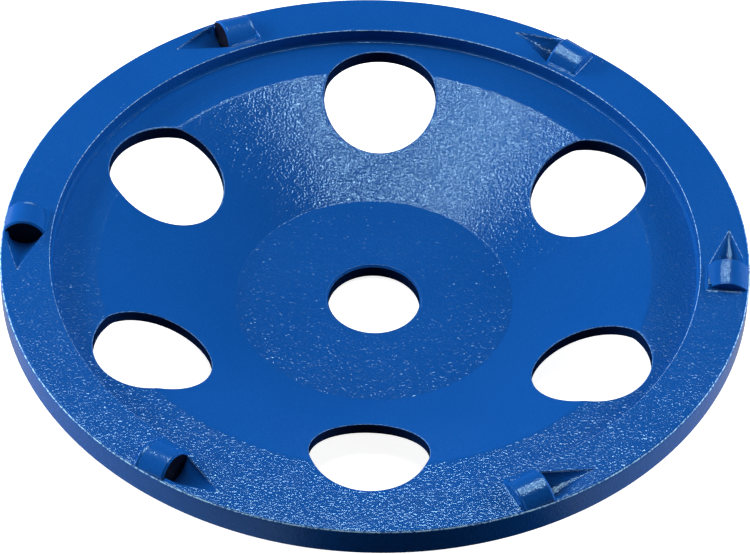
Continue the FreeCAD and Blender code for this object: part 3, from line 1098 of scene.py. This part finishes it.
    def bend_in(self, centre: np.ndarray, rows: np.ndarray, sign: int) -> tuple[list[np.ndarray], np.ndarray]:
        """Bend the paint from a sheet round onto a window's wall.

        Args:
            centre: The window's centre in plan.
            rows: The sheet's section.
            sign: 1 for the inside, -1 for the underside.

        Returns:
            Rings of points from the sheet to the wall, and the sheet's own normals.
        """
        outer = centre + (self.window_radius + self.window_ease) * spokes(WINDOW_STEPS)
        inner = centre + self.window_radius * spokes(WINDOW_STEPS)
        level, corner = (np.interp(np.hypot(*ring.T), rows[:, 0], rows[:, 1]) for ring in (outer, inner))
        begin = np.column_stack([outer, level])
        middle = np.column_stack([inner, corner])
        end = np.column_stack([inner, corner - sign * self.window_ease])
        shares = np.linspace(0, 1, EASE_POINTS)
        bent = [(1 - s) ** 2 * begin + 2 * s * (1 - s) * middle + s * s * end for s in shares]
        return bent, self.lift(outer, np.hypot(*outer.T), rows)[1]

    def build_window_walls(self, dish: np.ndarray, under: np.ndarray) -> None:
        """Add each window's wall, with both edges rounded by the paint.

        Args:
            dish: Section of the inside.
            under: Section of the underside.
        """
        inward = -np.column_stack([spokes(WINDOW_STEPS), np.zeros(WINDOW_STEPS)])
        bend = np.sin(math.pi * np.linspace(0, 1, EASE_POINTS))
        # Painted highlight lines along both rounded edges of a window.
        highlight_marks = np.concatenate([bend, np.zeros(len(WALL_SHARES)), bend]) * WINDOW_HIGHLIGHT
        for centre in self.window_centres():
            top, top_normals = self.bend_in(centre, dish, 1)
            low, low_normals = self.bend_in(centre, under, -1)
            straight = [top[-1] + (low[-1] - top[-1]) * share for share in WALL_SHARES]
            sheet = np.array(top + straight + low[::-1])
            along = np.gradient(sheet, axis=0)
            around = np.roll(sheet, -1, axis=1) - np.roll(sheet, 1, axis=1)
            normals = np.cross(around, along)
            normals /= np.linalg.norm(normals, axis=-1)[..., None]
            if (normals[len(top)] * inward).sum() < 0:
                normals = -normals
            normals[0], normals[-1] = top_normals, low_normals
            self.shell.add_grid(sheet, normals, highlight_marks)

    def rim_height(self, x: np.ndarray, y: np.ndarray) -> np.ndarray:
        """Height of the rim top, with its grooves and the paint fillets at the segments' feet.

        Args:
            x: Places along X.
            y: Places along Y.

        Returns:
            Heights in millimetres.
        """
        seg = self.segments
        height = np.full_like(x, self.height)
        radius = np.hypot(x, y)
        from_edges = np.minimum(self.flat_end - radius, radius - self.flat_start)
        hold = np.clip(from_edges / self.level_edge, 0, 1)
        mouth = seg.face_line()
        for number in range(seg.count):
            out, ahead = seg.to_local(x, y, number)
            cone = seg.groove_fall(out, np.maximum(ahead, mouth))
            eased = smooth_max(cone, np.zeros_like(out), seg.groove_ease)
            fall = np.where(ahead > mouth - MOUTH_OVERLAP - NEAR, eased, 0)
            rise = np.where(ahead < mouth, seg.paint_rise(out, ahead), 0)
            height += np.where(within(out, ahead, *seg.plot), (rise - fall) * hold, 0)
        return height

    def rim_highlights(self, x: np.ndarray, y: np.ndarray) -> np.ndarray:
        """How far places on the rim top are on a painted highlight line, behind a segment or along a groove's
        edge, 0 to 1.

        Args:
            x: Places along X.
            y: Places along Y.

        Returns:
            Marks from 0 to 1.
        """
        seg = self.segments
        highlight_marks = np.zeros_like(x)
        half, back, _ = seg.plot
        for number in range(seg.count):
            out, ahead = seg.to_local(x, y, number)
            # Painted highlight line in the fillet behind the segment.
            behind = within(out, ahead, half, back, 0)
            highlight_marks = np.maximum(highlight_marks, np.where(behind, seg.highlight_line(out, ahead), 0))
            # Painted highlight line along the groove's edges.
            beside = within(out, ahead, half, seg.face_line(), seg.advance + seg.groove_length)
            brink = BRINK_HIGHLIGHT * np.exp(-((seg.groove_fall(out, ahead) / seg.brink_width) ** 2))
            highlight_marks = np.maximum(highlight_marks, np.where(beside, brink, 0))
        return highlight_marks

    def groove_lines(self, number: int) -> list[np.ndarray]:
        """Rows of plan points that a groove and its segment's foot need.

        Args:
            number: Which segment, from 0.

        Returns:
            Runs of places, outwards and forwards from the segment's axis.
        """
        seg = self.segments
        apex, mouth = seg.advance + seg.groove_length, seg.face_line()
        half, back = seg.half_footprint(), seg.back_line()
        lines = []
        for side in (-1, 1):
            start, end = np.array([side * seg.groove_half, mouth]), np.array([0.0, apex])
            length = np.linalg.norm(end - start)
            step = (end - start) / length
            square = side * np.array([step[1], -step[0]])
            for off in BRINK_LINES:
                spots = start + square * off + step * np.linspace(0, length, BRINK_POINTS)[:, None]
                lines.append(spots[spots[:, 0] * side > -NEAR])
        run = np.linspace(mouth, apex - GROOVE_TIP, GROOVE_POINTS)
        for share in np.linspace(-GROOVE_SHARE, GROOVE_SHARE, GROOVE_LINES):
            lines.append(np.column_stack([share * seg.groove_half * (apex - run) / (apex - mouth), run]))
        side_run = np.linspace(mouth - FOOT_FRONT, back, FOOT_POINTS)
        back_run = np.linspace(-half, half, GROOVE_POINTS)
        corner = np.linspace(0, math.pi / 2, CORNER_POINTS)[1:-1]
        for off in FOOT_LINES:
            if off < SIDE_LINES_END:
                out = np.full(FOOT_POINTS, half + off)
                lines += [np.column_stack([side * out, side_run]) for side in (-1, 1)]
            lines.append(np.column_stack([back_run, np.full(GROOVE_POINTS, back - off)]))
            if off > 0:
                out, ahead = half + off * np.cos(corner), back - off * np.sin(corner)
                lines += [np.column_stack([side * out, ahead]) for side in (-1, 1)]
        return lines

    def rim_points(self) -> tuple[np.ndarray, list[tuple[int, int]]]:
        """Plan points of the rim top: plain rings, and the rows of every groove and segment's foot.

        Returns:
            The points, and the pairs of them that stay edges.
        """
        seg = self.segments
        points, edges = [], []
        for radius in np.linspace(self.flat_start, self.flat_end, RIM_RINGS):
            ring = radius * spokes(TURN_STEPS)
            at_edge = radius in (self.flat_start, self.flat_end)
            keep = np.ones(TURN_STEPS, bool)
            for number in range(seg.count):
                out, ahead = seg.to_local(ring[:, 0], ring[:, 1], number)
                keep &= ~within(out, ahead, *seg.clearing) | at_edge
            first = len(points)
            points.extend(ring[keep])
            if at_edge:
                edges.extend((first + i, first + (i + 1) % TURN_STEPS) for i in range(TURN_STEPS))
        mouth = seg.face_line() - MOUTH_OVERLAP
        inner, outer = MOUTH_ENDS
        across = np.linspace(inner - seg.half_footprint(), self.flat_end - seg.reach - outer, MOUTH_POINTS)
        for number in range(seg.count):
            for line in self.groove_lines(number):
                x, y = seg.to_plan(line[:, 0], line[:, 1], number)
                radius = np.hypot(x, y)
                inside = (radius > self.flat_start + RIM_LIP) & (radius < self.flat_end - RIM_LIP)
                points.extend(np.column_stack([x, y])[inside])
            for step in MOUTH_STEPS:
                x, y = seg.to_plan(across, np.full(MOUTH_POINTS, mouth - step), number)
                first = len(points)
                points.extend(np.column_stack([x, y]))
                edges.extend((first + i, first + i + 1) for i in range(MOUTH_POINTS - 1))
        return thin_out(np.array(points), edges, POINT_GAP)

    def build_rim_top(self) -> None:
        """Add the rim's flat with its grooves and paint fillets."""
        plan, triangles = triangulate(*self.rim_points())
        corners = np.hypot(*plan[triangles].transpose(2, 0, 1))
        triangles = triangles[~(corners < self.flat_start + NEAR).all(axis=1)]
        x, y = plan.T
        slope_x, slope_y = (
            (self.rim_height(x + a, y + b) - self.rim_height(x - a, y - b)) / (2 * NUDGE)
            for a, b in ((NUDGE, 0), (0, NUDGE))
        )
        normals = np.column_stack([-slope_x, -slope_y, np.ones(len(x))])
        normals /= np.linalg.norm(normals, axis=1)[:, None]
        places = np.column_stack([plan, self.rim_height(x, y)])
        first = self.shell.add_points(places, normals, self.rim_highlights(x, y))
        self.shell.faces.extend(map(tuple, (triangles + first).tolist()))

    def build_bands(self) -> None:
        """Add the turned bands between the flats: step, outer wall and bore."""
        step = [
            (self.dish_end, self.ledge, 0),
            (self.rim_inner, self.ledge, self.step_round),
            (self.rim_inner, self.height, self.lip_round),
            (self.flat_start, self.height, 0),
        ]
        outer = [
            (self.flat_end, self.height, 0),
            (self.rim_radius, self.height, self.rim_round),
            (self.rim_radius, self.underside, self.rim_under_round),
            (self.under_end, self.underside, 0),
        ]
        mouth, chamfer = self.bore_radius + self.bore_chamfer, self.bore_chamfer
        bore = [
            (self.dish_start, 0, 0),
            (mouth, 0, self.bore_round),
            (self.bore_radius, chamfer, self.bore_round),
            (self.bore_radius, self.hub_thickness - chamfer, self.bore_round),
            (mouth, self.hub_thickness, self.bore_round),
            (self.dish_start, self.hub_thickness, 0),
        ]
        for corners, spacing, steps, count in (
            (step, 0.8, 7, TURN_STEPS),
            (outer, 1.2, 7, TURN_STEPS),
            (bore, 0.8, 3, HUB_STEPS),
        ):
            rows = walk_section(corners, spacing, steps)
            points, normals = spin(rows, count)
            self.shell.add_grid(points[::-1], normals[::-1], rows[::-1, 4])

    def make(self, material: bpy.types.Material) -> bpy.types.Object:
        """Build the wheel and stand it in for its solid.

        Args:
            material: The wheel's finish.

        Returns:
            The wheel's mesh object.
        """
        dish, under = self.dish_rows(), self.under_rows()
        self.build_sheet(dish, Patch.TOP)
        self.build_sheet(under, Patch.UNDER)
        self.build_window_walls(dish, under)
        self.build_rim_top()
        self.build_bands()
        made = self.shell.make_object("wheel_painted", material)
        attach(made, ROOT_BODY)
        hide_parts("wheel_body")
        return made


def thin_out(points: np.ndarray, edges: list[tuple[int, int]], spacing: float) -> tuple[np.ndarray, list]:
    """Drop plan points that lie on an earlier one, keeping every point that an edge uses.

    Args:
        points: Places in plan.
        edges: Pairs of point numbers that stay edges.
        spacing: How near a point may lie to another.

    Returns:
        The points that are left, and the edges in their numbers.
    """
    used = {i for edge in edges for i in edge}
    order = sorted(range(len(points)), key=lambda i: (i not in used, i))
    cells: dict[tuple[int, int], list[int]] = {}
    kept: list[int] = []
    for i in order:
        x, y = points[i]
        home = (math.floor(x / spacing), math.floor(y / spacing))
        near = [j for a in (-1, 0, 1) for b in (-1, 0, 1) for j in cells.get((home[0] + a, home[1] + b), [])]
        if i not in used and any(math.dist(points[i], points[j]) < spacing for j in near):
            continue
        cells.setdefault(home, []).append(i)
        kept.append(i)
    number = {old: new for new, old in enumerate(kept)}
    return points[kept], [(number[a], number[b]) for a, b in edges]


# The studio


@dataclass(frozen=True)
class Lamp:
    """One soft lamp.

    Attributes:
        name: The lamp's name.
        place: Where it stands, in metres.
        aim: The point that it faces, in metres.
        width: Its width, in metres.
        height: Its height, in metres.
        power: Its power, in watts.
        mirrored: Whether gloss shows it. A low fill lamp would bleach the flats in views along the rim.
    """

    name: str
    place: Place
    aim: Place
    width: float
    height: float
    power: float
    mirrored: bool = True

    def make(self) -> None:
        """Set up the lamp."""
        data = bpy.data.lights.new(self.name, "AREA")
        data.shape = "RECTANGLE"
        data.size, data.size_y = self.width, self.height
        data.energy = self.power
        made = stand(self.name, data)
        made.location = self.place
        made.rotation_mode = "QUATERNION"
        made.rotation_quaternion = (Vector(self.place) - Vector(self.aim)).to_track_quat("Z", "Y")
        made.visible_camera = False
        made.visible_glossy = self.mirrored
        log.info("lamp %s", self.name)


def lamp_bank(place: Place, pitch: float, size: float, power: float) -> tuple[Lamp, ...]:
    """Nine small lamps in a square, facing down.

    Args:
        place: Middle of the bank, in metres.
        pitch: From one lamp to the next, in metres.
        size: Side of one lamp, in metres.
        power: Power of the whole bank, in watts.

    Returns:
        The lamps.
    """
    spots = [(place[0] + i * pitch, place[1] + j * pitch) for i in (-1, 0, 1) for j in (-1, 0, 1)]
    return tuple(
        Lamp(f"overhead_{n}", (x, y, place[2]), (x, y, 0), size, size, power / len(spots))
        for n, (x, y) in enumerate(spots, 1)
    )


@dataclass
class Studio:
    """Camera, floor, lamps and background.

    Attributes:
        lens: Focal length, in millimetres on a 36 mm sensor.
        elevation: Camera height, in degrees above the horizon.
        roll: Camera roll, in degrees.
        distance: Camera to the rim's centre, in millimetres.
        shift_right: Camera's offset to the right, in millimetres.
        shift_up: Camera's offset upwards, in millimetres.
        rim_height: Height of the point that the camera looks past, in millimetres.
        floor_half: Half the floor's side, in metres.
        floor_drop: How far the floor lies under the wheel, in metres.
        floor_colour: The floor's colour.
        floor_roughness: Its roughness.
        floor_glow: Light that the floor adds where the camera sees it, so that it is white.
        floor_sheen: Brightness of the floor in the gloss.
        shade_colour: Colour of the ground under the wheel and in a wedge ahead of it, unseen by the camera.
        shade_aim: Which way that wedge runs from the axis.
        shade_fade: Cosines of the angle from there between which the floor turns pale.
        shade_start: Distances from the axis, in metres, between which the ground under the wheel turns pale.
        room: Brightness of the room, where the camera doesn't see it.
        lamps: The lamps.
    """

    lens: float = 202.13
    elevation: float = 45.551
    roll: float = 1.706
    distance: float = 1011.2
    shift_right: float = 0.094
    shift_up: float = -6.702
    rim_height: float = 21.0
    floor_half: float = 12.0
    floor_drop: float = 0.0002
    floor_colour: Colour = (0.8, 0.8, 0.8, 1.0)
    floor_roughness: float = 0.9
    floor_glow: float = 0.88
    floor_sheen: float = 0.36
    shade_colour: Colour = (0.1, 0.1, 0.1, 1.0)
    shade_aim: Place = (0.19, -0.98, 0.0)
    shade_fade: tuple[float, float] = (0.96, 0.88)
    shade_start: tuple[float, float] = (0.084, 0.092)
    room: float = 0.025
    lamps: tuple[Lamp, ...] = (
        *lamp_bank((-0.10, 0.33, 1.0), pitch=0.235, size=0.095, power=8.6),
        Lamp("left", (-0.72, 0.25, 0.16), (0, 0, 0.02), width=0.7, height=0.38, power=12.0, mirrored=False),
        Lamp("right", (0.72, 0.25, 0.15), (0, 0, 0.02), width=0.7, height=0.38, power=9.4, mirrored=False),
    )

    def make_camera(self) -> None:
        """Set the camera at the photograph's viewing angle."""
        rise, roll = math.radians(self.elevation), math.radians(self.roll)
        forward = Vector((0, math.cos(rise), -math.sin(rise)))
        level, upright = Vector((1, 0, 0)), Vector((0, math.sin(rise), math.cos(rise)))
        right = math.cos(roll) * level + math.sin(roll) * upright
        above = -math.sin(roll) * level + math.cos(roll) * upright
        place = -forward * self.distance + level * self.shift_right + upright * self.shift_up
        place += Vector((0, 0, self.rim_height))
        data = bpy.data.cameras.new("camera")
        data.lens, data.sensor_width = self.lens, 36.0
        data.clip_start, data.clip_end = 0.05, 50.0
        made = stand("camera", data)
        turned = Matrix((right, above, -forward)).transposed().to_4x4()
        made.matrix_world = Matrix.Translation(place * MM) @ turned
        bpy.context.scene.camera = made

    def pale_floor(self) -> bpy.types.Material:
        """The floor's finish: white to the camera, and pale to all else but for the dark ground.

        Returns:
            The finished material.
        """
        material = bpy.data.materials.new("pale_floor")
        material.use_nodes = True
        nodes, bench = material.node_tree.nodes, NodeBench(material.node_tree)
        shader = nodes["Principled BSDF"]
        spread = bench.add("ShaderNodeVectorMath", operation="LENGTH")
        bench.put(spread.inputs[0], bench.place())
        from_axis = spread.outputs["Value"]
        ahead = bench.add("ShaderNodeVectorMath", operation="DOT_PRODUCT")
        bench.put(ahead.inputs[0], bench.place())
        bench.put(ahead.inputs[1], self.shade_aim)
        sector = bench.math("DIVIDE", ahead.outputs["Value"], from_axis)
        pale = bench.product(bench.ramp(sector, *self.shade_fade), bench.ramp(from_axis, *self.shade_start))
        bench.put(shader.inputs["Base Color"], bench.mix(pale, self.shade_colour, self.floor_colour))
        bench.put(shader.inputs["Roughness"], self.floor_roughness)
        paths = bench.add("ShaderNodeLightPath").outputs
        seen = bench.math("MAXIMUM", paths["Is Camera Ray"], paths["Is Transmission Ray"])
        white = bench.add("ShaderNodeAddShader")
        bench.put(white.inputs[0], bench.fill("ShaderNodeEmission", Color=WHITE, Strength=self.floor_glow))
        bench.put(white.inputs[1], bench.fill("ShaderNodeBsdfDiffuse", Color=self.floor_colour))
        strength = bench.product(pale, self.floor_sheen)
        sheen = bench.fill("ShaderNodeEmission", Color=WHITE, Strength=strength)
        unseen = bench.mix_shaders(paths["Is Glossy Ray"], shader.outputs[0], sheen)
        surface = bench.mix_shaders(seen, unseen, white.outputs[0])
        bench.put(nodes["Material Output"].inputs["Surface"], surface)
        return material

    def make_floor(self) -> None:
        """Lay the pale floor just under the wheel."""
        mesh = bmesh.new()
        bmesh.ops.create_grid(mesh, x_segments=2, y_segments=2, size=self.floor_half)
        data = bpy.data.meshes.new("floor")
        mesh.to_mesh(data)
        mesh.free()
        data.materials.append(self.pale_floor())
        made = stand("floor", data)
        made.location = (0, 0, -self.floor_drop)

    def make_world(self) -> None:
        """Fill the room with an even dim light, and show it white to the camera."""
        world = bpy.data.worlds.new("room")
        world.use_nodes = True
        bench = NodeBench(world.node_tree)
        back = world.node_tree.nodes["Background"]
        seen = bench.add("ShaderNodeLightPath").outputs["Is Camera Ray"]
        bench.put(back.inputs["Color"], WHITE)
        bench.put(back.inputs["Strength"], bench.ramp(seen, 0, 1, self.room, 1.0))
        bpy.context.scene.world = world

    def make(self) -> None:
        """Set the whole studio up."""
        self.make_camera()
        self.make_floor()
        self.make_world()
        for lamp in self.lamps:
            lamp.make()
        bpy.context.scene.view_settings.view_transform = "Standard"


def main() -> None:
    """Build the studio, the wheel and its segments, and report each piece."""
    logging.basicConfig(level=logging.INFO, format="%(message)s")
    Studio().make()
    wheel_paint = PaintFinish(
        name="wheel_paint",
        deep=(0.0035, 0.072, 0.325, 1),
        light=(0.006, 0.087, 0.37, 1),
        # The bare colour is painted shade, and the edge colour a painted highlight.
        bare=(0.003, 0.007, 0.034, 1),
        edge=(0.42, 0.72, 1.0, 1),
        roughness=0.12,
        dot_roughness=0.12,
        pebble_scale=1900.0,
        relief=0.000094,
        shine=0.52,
    )
    segment_paint = replace(
        wheel_paint, name="segment_paint", roughness=0.2, dot_roughness=0.17, relief=0.00006, shine=0.8
    )
    diamond_face = PaintFinish(
        name="diamond_face",
        deep=(0.002, 0.002, 0.006, 1),
        light=(0.01, 0.01, 0.02, 1),
        # The bare colour is painted shade, and the edge colour a faint painted highlight.
        bare=(0.002, 0.002, 0.004, 1),
        edge=(0.02, 0.03, 0.06, 1),
        roughness=0.5,
        dot_roughness=0.4,
        pebble_scale=4000.0,
        relief=0.00002,
        shine=0.15,
    )
    grain = PowderGrain().make()
    finishes = wheel_paint, segment_paint, diamond_face
    coat, segment_coat, diamond = (finish.make(grain) for finish in finishes)
    wheel = CupWheel()
    pieces = [wheel.make(coat)]
    for number in range(wheel.segments.count):
        pieces.append(wheel.segments.make(number, wheel.height, wheel.rim_radius, segment_coat, diamond))
    for made in pieces:
        log.info("%s: %d faces", made.name, len(made.data.polygons))


if __name__ == "__main__":
    main()
